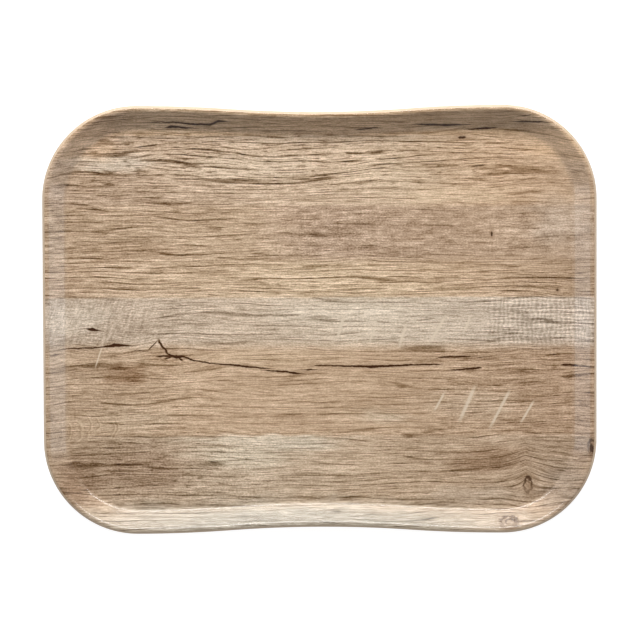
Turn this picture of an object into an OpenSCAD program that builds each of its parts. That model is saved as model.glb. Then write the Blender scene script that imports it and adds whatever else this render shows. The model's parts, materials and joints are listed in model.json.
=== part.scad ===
// Serving tray pressed from wood veneers and resin-soaked papers.
// Every sheet of the stack is a separate ply: the same shallow dish, a little deeper than the one above.
// The origin is under the middle of the tray, on the surface it stands on. +X is along the length, +Z is up.

/* [Outline over the rim] */
// Overall length
tray_l = 430; // [430:2:470]
// Overall width across the shoulders, near the corners
tray_w = 333; // [320:0.5:360]
// Radius of each corner
corner_r = 73; // [60:1:74]
// How far each long side curves in at its middle
waist_depth = 5; // [3:0.5:7]
// Distance from the middle of a long side to the end of its curve
waist_half = 140; // [120:1:140]

/* [Section through the wall] */
// Level distance from the edge of the flat floor to the rim's outer edge
wall_run = 19.9; // [18:0.1:24]
// Slope of the wall above the floor, in degrees
wall_angle = 45; // [42:1:52]
// Radius of the fold between floor and wall, on the upper face
fold_r = 5.5; // [3:0.5:6]
// Radius of the lip, where the wall rolls over towards level, on the upper face
lip_r = 5; // [5:0.5:7]
// Level width of the lip on the upper face
lip_w = 3.4; // [1.5:0.1:3.5]
// Level width of the bevelled cut round the rim
edge_w = 2.2; // [1.5:0.1:3]

/* [Sheets of the stack] */
// Thickness of the clear wear overlay
overlay_t = 0.2; // [0.2:0.05:0.3]
// Thickness of the printed decor sheet
decor_t = 0.25; // [0.2:0.05:0.4]
// Thickness of each of the five birch veneers
veneer_t = 0.55; // [0.5:0.05:0.7]
// Thickness of the backing sheet under the tray
backing_t = 0.3; // [0.2:0.05:0.4]

/* [Hidden] */

$fn = 720;
// Straight facets that stand for the arcs of the fold and of the lip
fold_steps = 6;
lip_steps = 4;

// Depth of each face between two sheets, under the tray's upper face
decor_top = overlay_t;
veneer_top = decor_top + decor_t;
backing_top = veneer_top + 5 * veneer_t;
stack_t = backing_top + backing_t;

// The upper face, outward from the floor: the fold, the straight wall, then the lip down to its own slope
fold_centre = [-wall_run, stack_t + fold_r];
lip_angle = asin(sin(wall_angle) - lip_w / lip_r);
wall_level = wall_run - fold_r * sin(wall_angle) - lip_w - edge_w;
lip_top = fold_centre.y - fold_r * cos(wall_angle) + wall_level * tan(wall_angle)
    + lip_r * (cos(lip_angle) - cos(wall_angle));
lip_centre = [lip_r * sin(lip_angle) - edge_w, lip_top - lip_r * cos(lip_angle)];
// How far each sheet runs on past the lip for each unit of its depth, which slopes the cut
bevel = (edge_w / stack_t - sin(lip_angle)) / cos(lip_angle);

half_l = tray_l / 2;
half_w = tray_w / 2;
corner_x = half_l - corner_r;
corner_y = half_w - corner_r;

// Each quarter of a long side is two equal arcs: one bends in at the waist, one out at the shoulder.
bend_r = (pow(waist_half, 2) + pow(waist_depth, 2)) / (4 * waist_depth);
waist_centre = [0, half_w - waist_depth + bend_r];
shoulder_centre = [waist_half, half_w - bend_r];
// A sweep about either centre that is safely longer than its arc
bend_sweep = 8;
// How far a trimming shape reaches past the tray, above and below
past = 1;

module wear_overlay() { color("#c9a98a", 0.5) ply(0, decor_top); }
module decor_sheet() { color("#9c7a5c") ply(decor_top, veneer_top); }
module face_veneer() { color("#dcbb92") veneer(0); }
module upper_cross_veneer() { color("#cfae86") veneer(1); }
module centre_veneer() { color("#dcbb92") veneer(2); }
module lower_cross_veneer() { color("#cfae86") veneer(3); }
module back_veneer() { color("#dcbb92") veneer(4); }
module backing_sheet() { color("#6a5a50") ply(backing_top, stack_t); }

// One of the five veneers, counted from the top
module veneer(index) {
    top = veneer_top + index * veneer_t;
    ply(top, top + veneer_t);
}

// A whole sheet, from one depth under the upper face to another
module ply(top, bottom) {
    for (mx = [0, 1], my = [0, 1]) mirror([mx, 0, 0]) mirror([0, my, 0]) quarter(top, bottom);
}

// The quarter of a sheet with x and y above 0
module quarter(top, bottom) {
    translate([corner_x, corner_y]) rotate_extrude(angle = 90) translate([corner_r, 0])
        section(top, bottom, corner_r);
    short_side(top, bottom);
    link(top, bottom);
    shoulder(top, bottom);
    waist(top, bottom);
}

// Half of a short side, straight
module short_side(top, bottom) {
    translate([half_l, corner_y]) rotate([90, 0, 0]) linear_extrude(corner_y) section(top, bottom, corner_r);
}

// The short straight stretch between a corner and the curve of a long side
module link(top, bottom) {
    translate([waist_half, half_w]) rotate([90, 0, 90]) linear_extrude(corner_x - waist_half)
        section(top, bottom, half_w);
}

// The stretch of a long side that bends out, with the floor beside it
module shoulder(top, bottom) {
    intersection() {
        translate(shoulder_centre) rotate_extrude(angle = bend_sweep, start = 90)
            translate([bend_r, 0]) section(top, bottom, wall_run);
        slab(-past, lip_top + 2 * past) shoulder_wedge();
    }
    slab(stack_t - bottom, bottom - top) intersection() {
        translate(shoulder_centre) circle(bend_r - wall_run);
        shoulder_wedge();
        square([waist_half, half_w]);
    }
}

// The stretch of a long side that bends in, with the floor beside it
module waist(top, bottom) {
    intersection() {
        translate(waist_centre) rotate_extrude(angle = bend_sweep, start = 270)
            translate([bend_r, 0]) mirror([1, 0]) section(top, bottom, wall_run);
        slab(-past, lip_top + 2 * past) waist_wedge();
    }
    slab(stack_t - bottom, bottom - top) difference() {
        intersection() {
            waist_wedge();
            square([waist_half, half_w]);
        }
        translate(waist_centre) circle(bend_r + wall_run);
    }
}

// The line between the two centres is where the arcs meet, so it parts these two areas.
module shoulder_wedge() { polygon([shoulder_centre, [waist_half, waist_centre.y], waist_centre]); }
module waist_wedge() { polygon([waist_centre, [0, shoulder_centre.y], shoulder_centre]); }

module slab(z, height) { translate([0, 0, z]) linear_extrude(height) children(); }

// A sheet's section: x runs outward and is 0 at the rim's outer edge, and the floor reaches in to -reach.
module section(top, bottom, reach) {
    upper = face_line(top);
    inner = reach > wall_run ? [-reach] : [];
    polygon(concat(
        [for (x = inner) [x, stack_t - bottom]],
        face_line(bottom),
        [for (i = [len(upper) - 1:-1:0]) upper[i]],
        [for (x = inner) [x, stack_t - top]]
    ));
}

// The face at this depth: up the fold from the edge of the flat floor, over the lip, and out to the cut
function face_line(depth) = [
    for (i = [0:fold_steps])
        fold_centre - (fold_r + depth) * upright(wall_angle * i / fold_steps),
    for (i = [0:lip_steps])
        lip_centre + (lip_r - depth) * upright(wall_angle + (lip_angle - wall_angle) * i / lip_steps),
    if (depth > 0)
        lip_centre + (lip_r - depth) * upright(lip_angle) + bevel * depth * [cos(lip_angle), sin(lip_angle)]
];

// The unit vector that stands square on a face with this slope
function upright(slope) = [-sin(slope), cos(slope)];

wear_overlay();
decor_sheet();
face_veneer();
upper_cross_veneer();
centre_veneer();
lower_cross_veneer();
back_veneer();
backing_sheet();
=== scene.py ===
"""Looks of a pressed laminate serving tray.

Each sheet of the stack is a finely shaped mesh of its own, and the decor print is drawn by nodes. Shapes are
in millimetres until a mesh takes them. The print is laid out in millimetres over the flattened paper, from
the middle of the tray. The studio is in metres."""

import json
import math

import bpy
from mathutils import Matrix, Vector


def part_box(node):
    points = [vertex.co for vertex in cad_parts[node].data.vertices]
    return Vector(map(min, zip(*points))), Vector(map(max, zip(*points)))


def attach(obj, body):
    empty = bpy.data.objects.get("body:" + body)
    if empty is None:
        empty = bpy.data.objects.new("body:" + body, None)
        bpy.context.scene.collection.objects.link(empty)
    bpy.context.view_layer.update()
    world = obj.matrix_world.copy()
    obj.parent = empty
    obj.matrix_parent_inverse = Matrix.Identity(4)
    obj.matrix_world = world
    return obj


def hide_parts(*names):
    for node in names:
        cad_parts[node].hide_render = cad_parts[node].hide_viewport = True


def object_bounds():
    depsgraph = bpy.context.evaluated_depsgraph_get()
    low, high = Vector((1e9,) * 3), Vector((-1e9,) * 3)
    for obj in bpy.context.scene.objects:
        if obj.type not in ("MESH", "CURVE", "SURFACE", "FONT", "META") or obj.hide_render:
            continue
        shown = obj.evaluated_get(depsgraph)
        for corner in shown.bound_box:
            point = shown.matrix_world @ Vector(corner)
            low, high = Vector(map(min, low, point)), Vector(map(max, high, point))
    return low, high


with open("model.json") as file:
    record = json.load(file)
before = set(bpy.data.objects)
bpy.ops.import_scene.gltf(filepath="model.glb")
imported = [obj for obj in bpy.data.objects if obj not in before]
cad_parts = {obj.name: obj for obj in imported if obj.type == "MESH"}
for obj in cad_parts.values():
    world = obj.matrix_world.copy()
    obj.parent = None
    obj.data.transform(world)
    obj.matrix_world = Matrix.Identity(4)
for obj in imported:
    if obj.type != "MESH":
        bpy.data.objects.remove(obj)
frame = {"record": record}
cad_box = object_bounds()

MM = 0.001

# The design, as part.scad has it
CORNER_R = 73
WAIST_DEPTH = 5
WAIST_HALF = 140
WALL_RUN = 19.9
WALL_ANGLE = math.radians(45)
FOLD_R = 5.5
LIP_R = 5
LIP_W = 3.4
EDGE_W = 2.2

# The sheets from the top down, each with the material slot that it takes its finish from
SHEETS = {
    "wear_overlay": "clear_overlay",
    "decor_sheet": "wood_print",
    "face_veneer": "birch_long_grain",
    "upper_cross_veneer": "birch_cross_grain",
    "centre_veneer": "birch_long_grain",
    "lower_cross_veneer": "birch_cross_grain",
    "back_veneer": "birch_long_grain",
    "backing_sheet": "backing_paper",
}

# How finely the arcs are cut into facets, and how far the sander has eased the two corners of the rim
SIDE_STEPS = 6
CORNER_STEPS = 36
BEND_STEPS = 10
FOLD_STEPS = 12
LIP_STEPS = 8
CUT_STEPS = 4
FLOOR_RINGS = (0.75, 0.5, 0.25)
EDGE_EASE = 0.35
# The lip's arc stops this many times the easing short of the cut
LIP_STOP = 1.5
SHARP = math.radians(35)
# The overlay stays this far above the print, so that no ray meets both at once
FILM_GAP = 0.01

half_l = cad_box[1].x / MM
half_w = cad_box[1].y / MM
stack_t = next(m["pos_m"][2] for m in frame["record"]["mounts"] if m["name"] == "tray_floor") / MM


# ---- Shape ----

def steps(start, end, count):
    """count + 1 even values from start to end."""
    return [start + (end - start) * i / count for i in range(count + 1)]


def heading(angle):
    return Vector((math.cos(angle), math.sin(angle)))


def upright(slope):
    """The unit vector that stands square on a face with this slope."""
    return Vector((-math.sin(slope), math.cos(slope)))


def arc(centre, radius, angles, side=1):
    """Stations on an arc, each a point of the outline and the way out of the tray there."""
    return [(centre + radius * heading(a), side * heading(a)) for a in angles]


def quarter_outline():
    """Stations from the middle of the right-hand side to the middle of the far side."""
    corner = Vector((half_l - CORNER_R, half_w - CORNER_R))
    bend_r = (WAIST_HALF**2 + WAIST_DEPTH**2) / (4 * WAIST_DEPTH)
    bend = math.asin(WAIST_HALF / 2 / bend_r)
    up = math.pi / 2
    side = [(Vector((half_l, y)), heading(0)) for y in steps(0, corner.y, SIDE_STEPS)[:-1]]
    rounded = arc(corner, CORNER_R, steps(0, up, CORNER_STEPS))
    shoulder = arc(Vector((WAIST_HALF, half_w - bend_r)), bend_r, steps(up, up + bend, BEND_STEPS))
    waist_centre = Vector((0, half_w - WAIST_DEPTH + bend_r))
    waist = arc(waist_centre, bend_r, steps(bend - up, -up, BEND_STEPS)[1:], side=-1)
    return side + rounded + shoulder + waist


def outline():
    """Stations all the way round, anticlockwise from the middle of the right-hand side."""
    quarter = quarter_outline()
    mirrored = [(Vector((-p.x, p.y)), Vector((-out.x, out.y))) for p, out in reversed(quarter[:-1])]
    half = quarter + mirrored
    return half + [(-p, -out) for p, out in half[1:-1]]


lip_angle = math.asin(math.sin(WALL_ANGLE) - LIP_W / LIP_R)
wall_level = WALL_RUN - FOLD_R * math.sin(WALL_ANGLE) - LIP_W - EDGE_W
fold_centre = Vector((-WALL_RUN, stack_t + FOLD_R))
lip_top = (
    fold_centre.y
    - FOLD_R * math.cos(WALL_ANGLE)
    + wall_level * math.tan(WALL_ANGLE)
    + LIP_R * (math.cos(lip_angle) - math.cos(WALL_ANGLE))
)
lip_centre = Vector((LIP_R * math.sin(lip_angle) - EDGE_W, lip_top - LIP_R * math.cos(lip_angle)))
bevel = (EDGE_W / stack_t - math.sin(lip_angle)) / math.cos(lip_angle)


def eased(distance):
    """How much the sander has taken off this far from a corner of the cut."""
    gap = max(0, 1 - distance / EDGE_EASE)
    return EDGE_EASE * (1 - math.sqrt(1 - gap**2))


def face_line(depth):
    """The face at this depth in the stack: (out, up) points from the edge of the flat floor to the cut."""
    lip_end = lip_angle + LIP_STOP * EDGE_EASE / LIP_R
    fold = [fold_centre - (FOLD_R + depth) * upright(a) for a in steps(0, WALL_ANGLE, FOLD_STEPS)]
    lip = [lip_centre + (LIP_R - depth) * upright(a) for a in steps(WALL_ANGLE, lip_end, LIP_STEPS)]
    reach = bevel * depth - eased(depth) - eased(stack_t - depth)
    end = lip_centre + (LIP_R - depth) * upright(lip_angle) + reach * heading(lip_angle)
    return fold + lip + [end]


def travelled(line):
    """How far each point is from the first, measured along the line."""
    total = [0]
    for a, b in zip(line, line[1:]):
        total.append(total[-1] + (b - a).length)
    return total


def sheet_section(top, bottom):
    """The rim's section through one sheet, as (out, up, distance over the paper, depth) rows."""
    upper = face_line(top)
    lower = face_line(bottom)
    depths = steps(top, bottom, CUT_STEPS)[1:-1]
    cut = [face_line(d)[-1] for d in depths]
    over = travelled(upper)
    under = travelled(lower)
    rows = [(p.x, p.y, s, top) for p, s in zip(upper, over)]
    rows += [(p.x, p.y, over[-1], d) for p, d in zip(cut, depths)]
    return rows + [(p.x, p.y, s, bottom) for p, s in reversed(list(zip(lower, under)))]


class SheetMesh:
    """Gathers the points and faces of one sheet, and each point's place on the flattened paper."""

    def __init__(self, top, bottom):
        self.points, self.paper, self.faces = [], [], []
        self.stations = outline()
        section = sheet_section(top, bottom)
        rings = [self.ring(row) for row in section]
        for a, b in zip(rings, rings[1:]):
            self.join(a, b)
        self.fill(rings[0], section[0], above=True)
        self.fill(rings[-1], section[-1], above=False)

    def add(self, x, y, z, paper):
        self.points.append((x * MM, y * MM, z * MM))
        self.paper.append(paper)
        return len(self.points) - 1

    def ring(self, row):
        out, up, distance, depth = row
        made = []
        for point, way in self.stations:
            place = point + way * out
            flat = point + way * (distance - WALL_RUN)
            made.append(self.add(place.x, place.y, up, (flat.x, flat.y, -depth)))
        return made

    def join(self, a, b):
        for i in range(len(a)):
            j = (i + 1) % len(a)
            self.faces.append((a[i], b[i], b[j], a[j]))

    def fill(self, edge, row, above):
        """Closes the flat floor inside a ring with smaller rings and a fan."""
        _, up, _, depth = row
        outer = edge
        for share in FLOOR_RINGS:
            places = [(point - way * WALL_RUN) * share for point, way in self.stations]
            inner = [self.add(p.x, p.y, up, (p.x, p.y, -depth)) for p in places]
            if above:
                self.join(inner, outer)
            else:
                self.join(outer, inner)
            outer = inner
        middle = self.add(0, 0, up, (0, 0, -depth))
        for i in range(len(outer)):
            j = (i + 1) % len(outer)
            self.faces.append((outer[i], outer[j], middle) if above else (outer[j], outer[i], middle))


def sheet_object(name, top, bottom, material):
    made = SheetMesh(top, bottom)
    mesh = bpy.data.meshes.new(name)
    mesh.from_pydata(made.points, [], made.faces)
    paper = mesh.attributes.new("paper", "FLOAT_VECTOR", "POINT")
    paper.data.foreach_set("vector", [value for place in made.paper for value in place])
    mesh.shade_smooth()
    mesh.set_sharp_from_angle(angle=SHARP)
    mesh.materials.append(material)
    piece = bpy.data.objects.new(name, mesh)
    bpy.context.scene.collection.objects.link(piece)
    return piece


# ---- Patterns written as formulas ----

# Sockets of a Mix node that mixes colours
MIX_FACTOR, MIX_A, MIX_B, MIX_RESULT = 0, 6, 7, 2
# The gamma that turns display values into linear light
DISPLAY_GAMMA = 2.2


class Wire:
    """A value in a node tree. Sums on wires add the nodes that work them out."""

    def __init__(self, tree, socket):
        self.tree = tree
        self.socket = socket

    def __add__(self, other):
        return maths("ADD", self, other)

    def __sub__(self, other):
        return maths("SUBTRACT", self, other)

    def __rsub__(self, other):
        return maths("SUBTRACT", other, self)

    def __mul__(self, other):
        return maths("MULTIPLY", self, other)

    def __truediv__(self, other):
        return maths("DIVIDE", self, other)

    __radd__ = __add__


def add_node(tree, kind, inputs=None, **settings):
    """A new node. inputs maps socket names or numbers to wires or plain values."""
    made = tree.nodes.new("ShaderNode" + kind)
    for name, value in settings.items():
        setattr(made, name, value)
    for key, value in (inputs or {}).items():
        if isinstance(value, Wire):
            tree.links.new(value.socket, made.inputs[key])
        else:
            made.inputs[key].default_value = value
    return made


def maths(operation, *values, clamp=False):
    tree = next(v.tree for v in values if isinstance(v, Wire))
    made = add_node(tree, "Math", dict(enumerate(values)), operation=operation, use_clamp=clamp)
    return Wire(tree, made.outputs[0])


def size_of(value):
    """The value without its sign."""
    return maths("ABSOLUTE", value)


def far(x, y):
    """The distance of (x, y) from (0, 0)."""
    return maths("SQRT", x * x + y * y)


def ease(value, start, end, low=0, high=1):
    """Goes smoothly from low to high as the value goes from start to end."""
    places = {"Value": value, "From Min": start, "From Max": end, "To Min": low, "To Max": high}
    made = add_node(value.tree, "MapRange", places, interpolation_type="SMOOTHSTEP")
    return Wire(value.tree, made.outputs[0])


def join_up(x, y, z=0):
    made = add_node(x.tree, "CombineXYZ", {0: x, 1: y, 2: z})
    return Wire(x.tree, made.outputs[0])


def noise(x, y, z=0, detail=2, rough=0.5):
    """Smooth noise around 0, with features about one unit across. A plain number for z works as a seed."""
    places = {"Vector": join_up(x, y, z), "Scale": 1, "Detail": detail, "Roughness": rough}
    made = add_node(x.tree, "TexNoise", places)
    return Wire(x.tree, made.outputs[0]) - 0.5


def blend(colour, other, amount):
    places = {MIX_FACTOR: amount, MIX_A: colour, MIX_B: other}
    made = add_node(amount.tree, "Mix", places, data_type="RGBA")
    return Wire(amount.tree, made.outputs[MIX_RESULT])


def levels(r, g, b):
    """A display colour, given in levels from 0 to 255."""
    return (r / 255, g / 255, b / 255, 1)


def plain_colour(tree, colour):
    """A plain display colour as a wire, for patterns to build on."""
    made = add_node(tree, "RGB")
    made.outputs[0].default_value = levels(*colour)
    return Wire(tree, made.outputs[0])


def shift(colour, amount):
    """The colour made lighter or darker by an amount in display levels."""
    adding = {"data_type": "RGBA", "blend_type": "ADD", "clamp_factor": False}
    places = {MIX_FACTOR: amount / 255, MIX_A: colour, MIX_B: levels(255, 255, 255)}
    made = add_node(colour.tree, "Mix", places, **adding)
    return Wire(colour.tree, made.outputs[MIX_RESULT])


def linear(colour):
    """Display values turned into linear light."""
    made = add_node(colour.tree, "Gamma", {"Color": colour, "Gamma": DISPLAY_GAMMA})
    return Wire(colour.tree, made.outputs[0])


def bump(height, distance, strength):
    places = {"Height": height, "Distance": distance * MM, "Strength": strength}
    made = add_node(height.tree, "Bump", places)
    return Wire(height.tree, made.outputs[0])


def new_material(name):
    """An empty node material, its tree, and the place on the paper as three wires."""
    material = bpy.data.materials.new(name)
    material.use_nodes = True
    tree = material.node_tree
    tree.nodes.clear()
    place = add_node(tree, "Attribute", attribute_name="paper")
    parts = add_node(tree, "SeparateXYZ", {0: Wire(tree, place.outputs["Vector"])})
    return material, tree, [Wire(tree, socket) for socket in parts.outputs]


def show(tree, shader):
    output = add_node(tree, "OutputMaterial")
    tree.links.new(shader.outputs[0], output.inputs["Surface"])


# ---- The print of old oak boards ----

PAPER_HALF = 240

# Each board's lower edge, how softly it meets the board below, and its colours from left to right. The first
# has no board below it.
BOARDS = [
    (-400, 1, ((-200, (162, 138, 113)), (-60, (186, 165, 141)), (40, (180, 156, 130)),
               (110, (174, 149, 123)), (205, (160, 136, 112)))),
    (-91, 1.5, ((-200, (170, 145, 119)), (-90, (188, 161, 133)), (40, (182, 155, 127)),
                (110, (174, 147, 120)), (205, (162, 134, 108)))),
    (-21, 6, ((-200, (168, 149, 129)), (-60, (192, 172, 150)), (40, (197, 180, 159)),
              (205, (182, 164, 146)))),
    (17, 1, ((-200, (180, 154, 128)), (0, (200, 176, 147)), (120, (187, 160, 132)),
             (205, (166, 140, 114)))),
    (46, 5, ((-200, (173, 148, 122)), (-60, (184, 159, 132)), (0, (160, 135, 112)),
             (120, (166, 140, 115)), (205, (162, 137, 113)))),
    (88, 2, ((-200, (172, 147, 123)), (-40, (188, 164, 139)), (60, (188, 164, 138)),
             (140, (188, 159, 130)), (205, (176, 149, 122)))),
    (143, 1, ((-200, (182, 150, 120)), (-120, (190, 162, 131)), (0, (188, 156, 122)),
              (205, (188, 160, 130)))),
]

# Soft patches of another colour in the print, and at the end two patches of painted light: middle,
# half-widths, colour, strength
PATCHES_AND_PAINTED_LIGHT = [
    ((-158, 122), (38, 9), (208, 193, 174), 0.7),
    ((-60, 118), (60, 14), (207, 188, 164), 0.5),
    ((60, 112), (50, 14), (205, 183, 156), 0.4),
    ((-185, 108), (24, 10), (168, 142, 116), 0.5),
    ((-120, 84), (60, 9), (172, 146, 120), 0.5),
    ((-20, 80), (30, 10), (160, 134, 110), 0.6),
    ((100, 96), (50, 8), (204, 180, 150), 0.5),
    ((185, 75), (25, 22), (178, 160, 142), 0.5),
    ((-150, 52), (50, 9), (168, 141, 114), 0.5),
    ((-130, 30), (70, 8), (200, 175, 147), 0.5),
    ((60, 24), (60, 6), (206, 182, 152), 0.5),
    ((-190, 0), (30, 16), (196, 182, 164), 0.5),
    ((15, 4), (70, 12), (203, 188, 168), 0.6),
    ((170, -2), (34, 18), (190, 174, 156), 0.6),
    ((-150, -43), (20, 10), (138, 108, 80), 0.85),
    ((-122, -34), (10, 16), (164, 136, 108), 0.6),
    ((-50, -31), (60, 8), (196, 171, 142), 0.5),
    ((-150, -78), (40, 14), (178, 156, 130), 0.5),
    ((45, -76), (26, 8), (200, 181, 157), 0.6),
    ((-15, -82), (40, 8), (170, 142, 114), 0.4),
    ((118, -66), (40, 14), (184, 162, 138), 0.5),
    ((-19, -98), (34, 7), (202, 189, 169), 0.7),
    ((-60, -107), (46, 12), (206, 190, 167), 0.85),
    ((-42, -94), (74, 4), (208, 192, 170), 0.8),
    ((-139, -117), (46, 22), (148, 122, 98), 0.7),
    ((130, -110), (34, 12), (144, 116, 90), 0.8),
    ((90, -104), (30, 10), (186, 162, 136), 0.5),
    ((120, -138), (50, 8), (168, 150, 130), 0.5),
    ((205, -105), (12, 12), (142, 117, 95), 0.6),
    ((-20, -164), (206, 24), (146, 140, 127), 0.75),
    ((-192, -128), (24, 26), (130, 104, 80), 0.8),
    ((192, -132), (22, 24), (140, 122, 104), 0.75),
    # Painted light: these two pale patches brighten the far corner walls, standing in for light from the
    # sides
    ((186, 139), (34, 18), (214, 181, 146), 0.85),
    ((-184, 139), (34, 18), (204, 172, 140), 0.75),
]

# Cracks, in tracks that run from left to right: (place along the track, height, half-width)
CRACKS = [
    [(-142, 155, 0), (-126, 155.5, 0.7), (-112, 155.5, 0.8), (-98, 153.5, 1.1), (-85, 153, 1.6),
     (-78, 157, 1.4), (-66, 157, 0), (26, 148, 0), (32, 148.5, 0.9), (42, 150, 0.8), (50, 150.5, 0),
     (68, 153.5, 0), (84, 152.5, 1.2), (100, 151.5, 1.4), (122, 151.5, 0), (144, 155, 0),
     (158, 155.5, 1.0), (172, 156.5, 0.8), (188, 158, 0)],
    [(-121, 149, 0), (-115, 151, 1.5), (-104, 149.5, 1.0), (-90, 148, 0), (108, 147.5, 0),
     (120, 147.5, 0.9), (130, 148, 1.1), (142, 149.5, 0), (150, 160, 0), (160, 162, 0.6),
     (176, 166, 0)],
    [(-190, -6.5, 0), (-182, -7, 0.4), (-177, -7.4, 1.5), (-172, -8.5, 0.4), (-162, -10, 0),
     (-151, -25.4, 0), (-143, -23.7, 0.5), (-136, -24.9, 0.4), (-128, -26, 0), (-126, -16, 0),
     (-119, -26.3, 0.6), (-113, -29.4, 1.5), (-107, -28.8, 1.0), (-98, -31.8, 0.7), (-86, -34, 0.7),
     (-62, -36.2, 0.9), (-45, -37.9, 0.8), (-33, -38.6, 0), (-12, -37.6, 0), (-2, -35.9, 0.5),
     (10, -36.1, 0.6), (27, -37.1, 0.9), (41, -37.2, 1.2), (53, -36.6, 1.0), (70, -36.1, 0.8),
     (87, -35.7, 0.8), (101, -35.2, 0), (186, -36, 0), (191, -36.3, 1.1), (200, -36.6, 0.8),
     (218, -37.5, 0.7)],
    [(-211, -22, 0), (-200, -22.5, 0.4), (-182, -21.9, 0.7), (-170, -21.5, 0.7), (-160, -19.8, 1.4),
     (-150, -20.2, 0.6), (-142, -20.2, 0), (-50, -39, 0), (-40, -40, 0.6), (-28, -41, 0.9),
     (-16, -42.2, 0.8), (-10, -42.6, 0), (88, -30.8, 0), (96, -30, 0.8), (112, -29.6, 0.8),
     (119, -29.7, 0.3), (124, -30, 0.5), (146, -29.8, 0)],
    [(-220, -26.3, 0), (-210, -26.3, 0.6), (-196, -26.3, 0), (-20, -39.5, 0), (-8, -39.5, 0.7),
     (4, -40, 0), (94, -41, 0), (104, -40, 0.6), (118, -39, 1.1), (124, -38.6, 1.1), (127, -38.6, 0)],
]

# Pale marks that a saw has left: the two ends and a half-width
SAW_MARKS = [
    ((122, -50), (107, -84), 1.2),
    ((150, -52), (130, -90), 1.0),
    ((98, -56), (88, -74), 0.8),
    ((168, -62), (155, -84), 0.8),
    ((99, 4), (85, -20), 1.0),
    ((68, -2), (61, -24), 1.0),
    ((19, 3), (13, -17), 1.2),
    ((118, 3), (111, -13), 0.8),
    ((44, -4), (38, -20), 0.7),
    ((-168, -16), (-176, -40), 0.5),
]

# Cracks too steep for a track: the two ends and a half-width
SPLINTERS = [
    ((-127, -14), (-117, -29), 0.7),
    ((-129, -29), (-112, -28), 0.6),
    ((-134, -24), (-126, -16), 0.35),
    ((-122, -31), (-113, -28), 0.5),
    ((-113, -27), (-106, -33), 0.5),
]

# Knots with a dark rim: middle, half-widths, strength
KNOTS = [
    ((162, -130), (3.6, 6.2), 0.8),
    ((216, -100), (4, 7), 0.7),
    ((148, -162), (4, 4), 0.7),
    ((147, -162), (8, 7), 0.6),
]

# Pale ridges in the grain, each the right-hand part of a circle: middle, radius
RIDGES = [
    ((-196, -87), 10.8),
    ((-204, -86), 10.3),
    ((-189, -83), 11),
    ((-167, -85), 7),
    ((-168, -84), 11),
    ((-181, -82), 9),
]

# Small dark spots: middle, half-widths, strength
SPOTS = [
    ((111, 141), (3.4, 1.3), 0.9),
    ((134, 66), (1.0, 2.4), 0.9),
    ((185, 22), (1.3, 1.5), 0.8),
    ((-196, 105), (1.8, 1.1), 0.5),
    ((162, -124), (2.6, 1.6), 0.8),
    ((216, -101), (2.4, 5), 0.9),
]

# Where the grain bows apart around a knot: middle, half-widths, push
BOWS = [
    ((-114, -28), (26, 20), 7),
    ((-170, -14), (24, 14), 4),
    ((162, -130), (16, 18), 5),
    ((135, 65), (20, 10), 4),
    ((111, 141), (16, 8), 3),
    ((147, -162), (16, 12), 5),
    ((185, 22), (14, 6), 2),
]

# Areas of the print with a grain of their own: left, right, bottom, top, and how soft their edges are
DASHED = (-185, 150, 104, 141, 20, 8)
RULED = (-230, 230, 18, 45, 10, 3)
RULED_LEFT = (-230, -45, 50, 104, 20, 8)
MOTTLED = (-32, 225, 50, 88, 30, 6)
GREY = (-230, 230, -20, 17, 10, 4)
STIPPLED = (-180, -50, -142, -94, 20, 6)
PLAIN = (-90, 90, -88, -22, 20, 3)
PEAKED = (120, 200, -132, -94, 14, 8)

# Where the grain rises to a peak above a knot: the peak's place, height and how fast it dies away
PEAK_X = 160
PEAK_HEIGHT = 6
PEAK_REACH = 14

# How strongly each layer of the grain shows, in display levels
FIBRE = 165
STREAK = 95
CLOUD = 50
SPECK = 84
BLOTCH = 170
WIDE_THREAD = 62
NARROW_THREAD = 38
PORE = 26
WAVE = 9
DASH = 58
STEEP_LINES = 90
UPRIGHT_LINES = 12
LEVEL_LINES = 18
# How much darker the threads and pores are where the grain is dashed, and the pores where it is stippled
DASHED_THREAD = 34
DASHED_PORE = 40
STIPPLED_PORE = 34
# These levels make up for what the dark lines take away, everywhere and on the mottled board
LIFT = 14
MOTTLED_LIFT = 6

# Colours of single marks in the print
SAW_PALE = (214, 198, 176)
KNOT_HALO = (143, 115, 89)
KNOT_DARK = (60, 38, 22)
RIDGE_GROOVE = (140, 114, 88)
RIDGE_CREST = (222, 201, 172)
CRACK_HALO = (128, 99, 72)
CRACK_DARK = (62, 35, 11)

# A crack's half-width is drawn this much larger, so that it fills more of the curve's range
WIDTH_SCALE = 20


def zone(x, y, left, right, bottom, top, soft_x, soft_y):
    """1 within a box on the paper, and falling to 0 over a soft margin."""
    half_x, half_y = (right - left) / 2, (top - bottom) / 2
    across = ease(size_of(x - (left + right) / 2), half_x + soft_x, half_x - soft_x)
    return across * ease(size_of(y - (bottom + top) / 2), half_y + soft_y, half_y - soft_y)


def oval(x, y, middle, half):
    """How far out from the middle of an oval, where 1 is its rim."""
    return far((x - middle[0]) / half[0], (y - middle[1]) / half[1])


def colour_row(x, stops):
    """Colours that change from left to right over the paper."""
    made = add_node(x.tree, "ValToRGB", {0: (x + PAPER_HALF) / (2 * PAPER_HALF)})
    ramp = made.color_ramp
    for index, (place, colour) in enumerate(stops):
        position = (place + PAPER_HALF) / (2 * PAPER_HALF)
        stop = ramp.elements[index] if index < 2 else ramp.elements.new(position)
        stop.position = position
        stop.color = levels(*colour)
    return Wire(x.tree, made.outputs[0])


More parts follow.
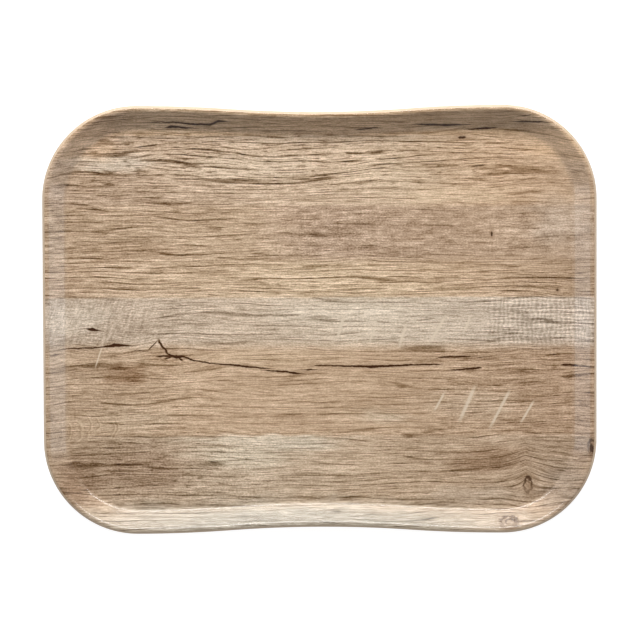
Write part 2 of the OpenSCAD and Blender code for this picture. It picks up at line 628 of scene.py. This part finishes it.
def drawn(x, points):
    """The height of a line drawn through (x, height) points, all heights within the paper's size."""
    made = add_node(x.tree, "FloatCurve", {"Value": (x + PAPER_HALF) / (2 * PAPER_HALF)})
    line = made.mapping.curves[0]
    for index, (place, height) in enumerate(points):
        spot = ((place + PAPER_HALF) / (2 * PAPER_HALF), (height + PAPER_HALF) / (2 * PAPER_HALF))
        point = line.points[index] if index < 2 else line.points.new(*spot)
        point.location = spot
        point.handle_type = "VECTOR"
    made.mapping.update()
    return Wire(x.tree, made.outputs[0]) * (2 * PAPER_HALF) - PAPER_HALF


def crack_track(x, y, track):
    """How deep inside a crack of this track a place is, and how near one."""
    middle = drawn(x, [(place, height) for place, height, _ in track])
    half = drawn(x, [(place, width * WIDTH_SCALE) for place, _, width in track]) / WIDTH_SCALE
    off = size_of(y - middle)
    inside = maths("MULTIPLY", half * (noise(x / 6, y / 3, 67) + 0.95) - off, 3, clamp=True)
    near = maths("DIVIDE", half * 2.6 - off, 3.0, clamp=True)
    return inside, near


def straight_mark(x, y, start, end, half):
    """1 on a straight mark between two points, fading to its sides and ends."""
    way = Vector(end) - Vector(start)
    length = way.length
    way = way / length
    along = (x - start[0]) * way.x + (y - start[1]) * way.y
    off = size_of((x - start[0]) * way.y - (y - start[1]) * way.x)
    reach = ease(along, 0, length * 0.25) * ease(along, length, length * 0.7)
    return reach * ease(off, half * 1.8, half * 0.3)


def bent_grain(x, y):
    """The height of a place among the grain lines, which wander and bow around the knots."""
    height = y + noise(x / 170, y / 70, 3) * 15 + noise(x / 60, y / 20, 5) * 3
    for middle, half, push in BOWS:
        out = oval(x, y, middle, half)
        pull = ease(out, 1.6, 0)
        height = height - pull * push * ((y - middle[1]) / half[1])
    peak = maths("POWER", math.e, size_of(x - PEAK_X) / -PEAK_REACH)
    return height - zone(x, y, *PEAKED) * peak * PEAK_HEIGHT


def board_colours_and_painted_light(x, y):
    """The boards' own colours, with a ragged line where they meet, their soft patches, and the painted light
    on the far corner walls.
    """
    ragged = y + noise(x / 22, y / 9, 1) * 2.4
    cloudy_x = x + noise(x / 40, y / 12, 2) * 50
    colour = None
    for edge, soft, stops in BOARDS:
        row = colour_row(cloudy_x, stops)
        colour = row if colour is None else blend(colour, row, ease(ragged, edge - soft, edge + soft))
    cloudy_y = y + noise(x / 30, y / 10, 7) * 14
    # Soft patches of the print; the last two are painted light on the far corner walls
    for middle, half, tint, strength in PATCHES_AND_PAINTED_LIGHT:
        amount = ease(oval(cloudy_x, cloudy_y, middle, half), 1.25, 0.3) * strength
        colour = blend(colour, levels(*tint), amount)
    return colour


def threads(x, height, length, spacing, thickness, seed):
    """1 on thin lines that run with the grain, about a spacing apart, and break off here and there."""
    row = height / spacing + noise(x / length, height / (3 * spacing), seed, detail=1) * 4
    line = ease(maths("PINGPONG", row, 0.5), thickness / spacing, 0)
    return line * ease(noise(x / (length / 5), height / spacing, seed + 1), -0.1, 0.04)


def grain(x, y):
    """Light and dark of the wood's grain, in display levels."""
    height = bent_grain(x, y)

    # Where the grain is of each kind
    dashed = zone(x, y, *DASHED)
    ruled = zone(x, y, *RULED) + zone(x, y, *RULED_LEFT) * 0.5
    mottled = zone(x, y, *MOTTLED)
    grey = zone(x, y, *GREY)
    sawn = grey * ease(x, -118, -140)
    stippled = zone(x, y, *STIPPLED)
    calm = 1 - mottled * 0.35 - sawn * 0.8
    plain = zone(x, y, *PLAIN)
    low = ease(y, -88, -96)
    contrast = 0.97 - plain * 0.26 - low * 0.1 - grey * ease(x, -100, -60) * 0.16
    contrast = contrast - ease(x, 10, 100) * ease(y, 20, 50) * 0.2

    # The layers, from the fine fibres to the saw's specks
    fibre = noise(x / 11, height / 0.85, 11, detail=2, rough=0.75) * FIBRE
    streak = noise(x / 60, height / 1.8, 13, detail=2, rough=0.6) * STREAK
    cloud = noise(x / 60, height / 11, 17, detail=1) * CLOUD
    wide = threads(x, height, 170, 5.4, 0.75, 19)
    narrow = threads(x, height, 80, 2.7, 0.6, 23)
    pore = ease(noise(x / 9, height / 0.95, 29, detail=1), 0.09, 0.19)
    wave = maths("SINE", (height + noise(x / 90, height / 8, 31) * 5) * 1.4)
    dash = ease(wave, 0.55, 0.95) * ease(noise(x / 36, height / 5, 37), -0.12, 0.0)
    blotch = noise(x / 13, y / 4.5, 41, detail=4, rough=0.7) * BLOTCH
    speck = noise(x / 1.5, y / 1.1, 43, detail=1) * SPECK

    # The layers put together
    total = fibre * (1 - mottled * 0.3) + streak * calm + cloud + speck + LIFT
    total = total - wide * (WIDE_THREAD + dashed * DASHED_THREAD) * calm
    total = total - narrow * (NARROW_THREAD + dashed * DASHED_THREAD) * calm
    total = total - pore * (PORE + dashed * DASHED_PORE + stippled * STIPPLED_PORE)
    total = total + ruled * (wave * WAVE - dash * DASH)
    total = total + mottled * (blotch + speck * 0.4 + MOTTLED_LIFT)
    total = total * contrast + stippled * speck * 0.3
    return total + saw_texture(x, y, grey, sawn, speck)


def saw_texture(x, y, grey, sawn, speck):
    """Fine steep saw lines on the grey board, and a grid of them at its right-hand end."""
    steep = noise((x - y * 0.35) / 2.2, y / 12, 47, detail=2) * STEEP_LINES
    right = ease(x, 120, 140)
    upright_lines = maths("SINE", x * 1.7 + noise(x / 9, y / 9, 53) * 14) * UPRIGHT_LINES
    level_lines = maths("SINE", y * 2.2 + noise(x / 16, y / 5, 59) * 12) * LEVEL_LINES
    return sawn * steep + grey * (right * (upright_lines + level_lines) + speck * 0.2)


def most(masks):
    """The highest of some masks."""
    top = masks[0]
    for mask in masks[1:]:
        top = maths("MAXIMUM", top, mask)
    return top


def knots(colour, x, y):
    """Adds the knots, with their darker upper rims, and the spots."""
    halos, rims = [], []
    for middle, half, strength in KNOTS:
        out = oval(x, y, middle, half) + noise(x / 3, y / 3, middle[0]) * 0.9
        lower, upper = middle[1] - half[1], middle[1] + half[1]
        rim = ease(size_of(out - 0.85), 0.3, 0.05) * ease(y, lower, upper, 0.4, 1)
        halos.append(ease(out, 1.9, 0.6) * (strength * 0.35))
        rims.append(rim * strength)
    for middle, half, strength in SPOTS:
        out = oval(x, y, middle, half) + noise(x / 2, y / 2, middle[0]) * 1.2
        halos.append(ease(out, 3, 0.8) * (strength * 0.5))
        rims.append(ease(out, 1, 0.5) * strength)
    colour = blend(colour, levels(*KNOT_HALO), most(halos))
    return blend(colour, levels(*KNOT_DARK), most(rims))


def ridges(colour, x, y):
    """Adds the pale ridges, each with a groove inside it."""
    grooves, crests = [], []
    for middle, radius in RIDGES:
        right = x - middle[0]
        out = far(right, y - middle[1]) + noise(x / 6, y / 6, 63) * 5 - radius
        part = ease(right, radius * 0.3, radius * 0.9) * 0.4
        grooves.append(ease(size_of(out + 1.1), 1, 0) * part)
        crests.append(ease(size_of(out), 0.9, 0) * part)
    colour = blend(colour, levels(*RIDGE_GROOVE), most(grooves))
    return blend(colour, levels(*RIDGE_CREST), most(crests))


def cracks(colour, x, y):
    """Adds the cracks, which darken the wood around them."""
    jagged = y + noise(x / 8, y / 5, 61, detail=2, rough=0.6) * 2.2
    crooked = x + (jagged - y)
    tracks = [crack_track(x, jagged, track) for track in CRACKS]
    splinters = [straight_mark(crooked, jagged, *splinter) for splinter in SPLINTERS]
    colour = blend(colour, levels(*CRACK_HALO), most([near for _, near in tracks]) * 0.4)
    return blend(colour, levels(*CRACK_DARK), most([inside for inside, _ in tracks] + splinters))


def wood_print(x, y):
    """The whole print, with painted light on the far corner walls, in display values."""
    colour = shift(board_colours_and_painted_light(x, y), grain(x, y))
    sawn = most([straight_mark(x, y, *mark) for mark in SAW_MARKS])
    colour = blend(colour, levels(*SAW_PALE), sawn * 0.85)
    colour = knots(ridges(colour, x, y), x, y)
    return cracks(colour, x, y)


# ---- Materials ----

# The print soaks this far into its paper
INK_DEPTH = 0.03


def press_texture(x, y):
    """The fine pebbled skin that the press plate leaves, as a height."""
    return noise(x / 0.45, y / 0.45, 71, detail=2, rough=0.6) + noise(x / 3.5, y / 3.5, 73) * 0.5


def clear_overlay():
    """A clear film: it lets the print through, and its upper face adds gloss with a faint wear."""
    material, tree, (x, y, _) = new_material("clear_overlay")
    worn = noise(x / 35, y / 35, 79, detail=4, rough=0.6)
    scuffs = ease(noise((x + y) / 30, (x - y) / 0.5, 83, detail=2), 0.12, 0.26)
    roughness = 0.24 + worn * 0.12 + scuffs * 0.08
    normal = bump(press_texture(x, y), 0.02, 0.5)
    look = {"Color": (1, 1, 1, 1), "Roughness": roughness, "Normal": normal}
    gloss = add_node(tree, "BsdfAnisotropic", look)
    fresnel = add_node(tree, "Fresnel", {"IOR": 1.5, "Normal": normal})
    side = add_node(tree, "NewGeometry")
    share = Wire(tree, fresnel.outputs[0]) * (1 - Wire(tree, side.outputs["Backfacing"]))
    clear = add_node(tree, "BsdfTransparent")
    mixed = add_node(tree, "MixShader", {0: share})
    tree.links.new(clear.outputs[0], mixed.inputs[1])
    tree.links.new(gloss.outputs[0], mixed.inputs[2])
    show(tree, mixed)
    return material


def wood_print_paper():
    """The printed paper, whose plain core shows at the cut."""
    material, tree, (x, y, depth) = new_material("wood_print")
    core = shift(plain_colour(tree, (150, 122, 96)), noise(x / 1.2, y / 1.2, 89, detail=3) * 50)
    print_level = -top_of["decor_sheet"]
    edge = ease(depth, print_level - INK_DEPTH / 3, print_level - INK_DEPTH)
    colour = blend(wood_print(x, y), core, edge)
    roughness = 0.55 + noise(x / 4, y / 1.5, 97, detail=3) * 0.2
    look = {
        "Base Color": linear(colour),
        "Roughness": roughness,
        "Normal": bump(press_texture(x, y), 0.02, 0.4),
        "Specular IOR Level": 0.2,
    }
    show(tree, add_node(tree, "BsdfPrincipled", look))
    return material


def birch(name, along_x, colour):
    """Birch veneer with its grain along one axis, which shows as pores where the cut crosses it."""
    material, tree, (x, y, depth) = new_material(name)
    run, cross = (x, y) if along_x else (y, x)
    fibre = noise(run / 9, cross / 0.35, depth / 0.16, detail=3, rough=0.6) * 60
    growth = noise(run / 60, cross / 3, depth / 0.7, detail=2) * 50
    pore = ease(noise(run / 3, cross / 0.22, depth / 0.14, detail=1), 0.16, 0.3) * 45
    way = add_node(tree, "NewGeometry")
    facing = add_node(tree, "SeparateXYZ", {0: Wire(tree, way.outputs["Normal"])})
    end = size_of(Wire(tree, facing.outputs[0 if along_x else 1]))
    shade = fibre + growth - pore - ease(end, 0.2, 0.8) * 26
    look = {
        "Base Color": linear(shift(plain_colour(tree, colour), shade)),
        "Roughness": 0.6 + fibre / 400,
        "Normal": bump(fibre / 60 - pore / 60, 0.06, 0.6),
        "Specular IOR Level": 0.3,
    }
    show(tree, add_node(tree, "BsdfPrincipled", look))
    return material


def backing_paper():
    """Dark resin-soaked paper, mottled by its fibres and rubbed where it slides over tables."""
    material, tree, (x, y, depth) = new_material("backing_paper")
    fibre = noise(x / 5, y / 0.9, 101, detail=4, rough=0.65) * 34
    cross = noise(x / 0.9, y / 6, 103, detail=3, rough=0.6) * 22
    cloud = noise(x / 40, y / 40, 107, detail=3) * 26
    scuffs = ease(noise((x - y * 0.4) / 40, (y + x * 0.4) / 0.6, 109, detail=2), 0.14, 0.3)
    shade = fibre + cross + cloud + scuffs * 12
    pebble = press_texture(x, y)
    look = {
        "Base Color": linear(shift(plain_colour(tree, (112, 92, 77)), shade)),
        "Roughness": 0.42 + fibre / 300 - scuffs * 0.08,
        "Normal": bump(pebble + fibre / 60, 0.04, 0.7),
        "Specular IOR Level": 0.4,
    }
    show(tree, add_node(tree, "BsdfPrincipled", look))
    return material


# ---- The tray ----

top_of = {}
depth_so_far = 0
for node_name in SHEETS:
    top_of[node_name] = depth_so_far
    depth_so_far = stack_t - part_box(node_name)[0].z / MM

materials = {
    "clear_overlay": clear_overlay(),
    "wood_print": wood_print_paper(),
    "birch_long_grain": birch("birch_long_grain", True, (202, 182, 158)),
    "birch_cross_grain": birch("birch_cross_grain", False, (192, 170, 146)),
    "backing_paper": backing_paper(),
}

for node_name, slot_name in SHEETS.items():
    bottom = stack_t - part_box(node_name)[0].z / MM
    if node_name == "wear_overlay":
        bottom -= FILM_GAP
    piece = sheet_object(node_name + "_ply", top_of[node_name], bottom, materials[slot_name])
    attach(piece, "root")
    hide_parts(node_name)


# ---- Studio ----

# The floor lies this far under the tray, so that the two faces don't fight
FLOOR_GAP = 0.02 * MM
FLOOR_HALF = 3.0
FLOOR_GREY = 0.3
FLOOR_GLOW = 0.92

# The sky's glow round the tray, and the heights between which it dies away towards the dark overhead
SKY_GLOW = 0.42
SKY_FADE = (0.86, 0.95)

# The lamps: middle, width, height and glow, where a glow of 1 is as bright as a white page
LAMPS = {
    "key": ((0, 1.85, 1.35), 3.4, 0.8, 10.6),
    "left_card": ((-1.6, -0.114, 0.18), 0.275, 0.32, 4.6),
    "right_card": ((1.6, -0.114, 0.18), 0.275, 0.32, 4.6),
    "back_card": ((0, 1.6, 0.2), 0.8, 0.36, 4),
}

# The camera looks nearly straight down. Its view is the width that it sees at the rim.
CAMERA_AWAY = 3.2
CAMERA_REACH = 20
CAMERA_TILT = math.radians(3.5)
CAMERA_ROLL = math.radians(-0.2)
CAMERA_VIEW = 0.49625
CAMERA_AIM = (0.00015, 0.00015, cad_box[1].z)
SENSOR = 36


def stage_floor():
    mesh = bpy.data.meshes.new("studio_floor")
    signs = ((-1, -1), (1, -1), (1, 1), (-1, 1))
    mesh.from_pydata([(x * FLOOR_HALF, y * FLOOR_HALF, -FLOOR_GAP) for x, y in signs], [], [(0, 1, 2, 3)])
    material = bpy.data.materials.new("studio_white")
    material.use_nodes = True
    shader = material.node_tree.nodes["Principled BSDF"]
    shader.inputs["Base Color"].default_value = (FLOOR_GREY, FLOOR_GREY, FLOOR_GREY, 1)
    shader.inputs["Roughness"].default_value = 0.8
    shader.inputs["Emission Color"].default_value = (1, 1, 1, 1)
    shader.inputs["Emission Strength"].default_value = FLOOR_GLOW
    mesh.materials.append(material)
    floor = bpy.data.objects.new("studio_floor", mesh)
    bpy.context.scene.collection.objects.link(floor)


def soft_box(name, place, width, height, glow):
    """A rectangular lamp that faces the tray."""
    lamp = bpy.data.lights.new(name, "AREA")
    lamp.shape = "RECTANGLE"
    lamp.size = width
    lamp.size_y = height
    lamp.energy = glow * math.pi * width * height
    lamp_object = bpy.data.objects.new(name, lamp)
    lamp_object.location = place
    lamp_object.rotation_euler = (-Vector(place)).to_track_quat("-Z", "Y").to_euler()
    bpy.context.scene.collection.objects.link(lamp_object)


def light_studio():
    world = bpy.data.worlds.new("studio")
    world.use_nodes = True
    tree = world.node_tree
    way = add_node(tree, "TexCoord")
    parts = add_node(tree, "SeparateXYZ", {0: Wire(tree, way.outputs["Generated"])})
    sky = ease(Wire(tree, parts.outputs["Z"]), *SKY_FADE, SKY_GLOW, 0)
    tree.links.new(sky.socket, tree.nodes["Background"].inputs["Strength"])
    tree.nodes["Background"].inputs["Color"].default_value = (1, 1, 1, 1)
    bpy.context.scene.world = world
    for name, lamp in LAMPS.items():
        soft_box(name, *lamp)


def add_camera():
    camera = bpy.data.cameras.new("camera")
    camera.sensor_width = SENSOR
    camera.lens = SENSOR * CAMERA_AWAY / CAMERA_VIEW
    camera.clip_end = CAMERA_REACH
    held = bpy.data.objects.new("camera", camera)
    aim = Vector(CAMERA_AIM)
    held.location = aim + CAMERA_AWAY * Vector((0, math.sin(CAMERA_TILT), math.cos(CAMERA_TILT)))
    turn = Matrix.Rotation(-CAMERA_TILT, 3, "X") @ Matrix.Rotation(CAMERA_ROLL, 3, "Z")
    held.rotation_euler = turn.to_euler()
    bpy.context.scene.collection.objects.link(held)
    bpy.context.scene.camera = held


stage_floor()
light_studio()
add_camera()
bpy.context.scene.view_settings.view_transform = "Standard"

bpy.context.view_layer.update()
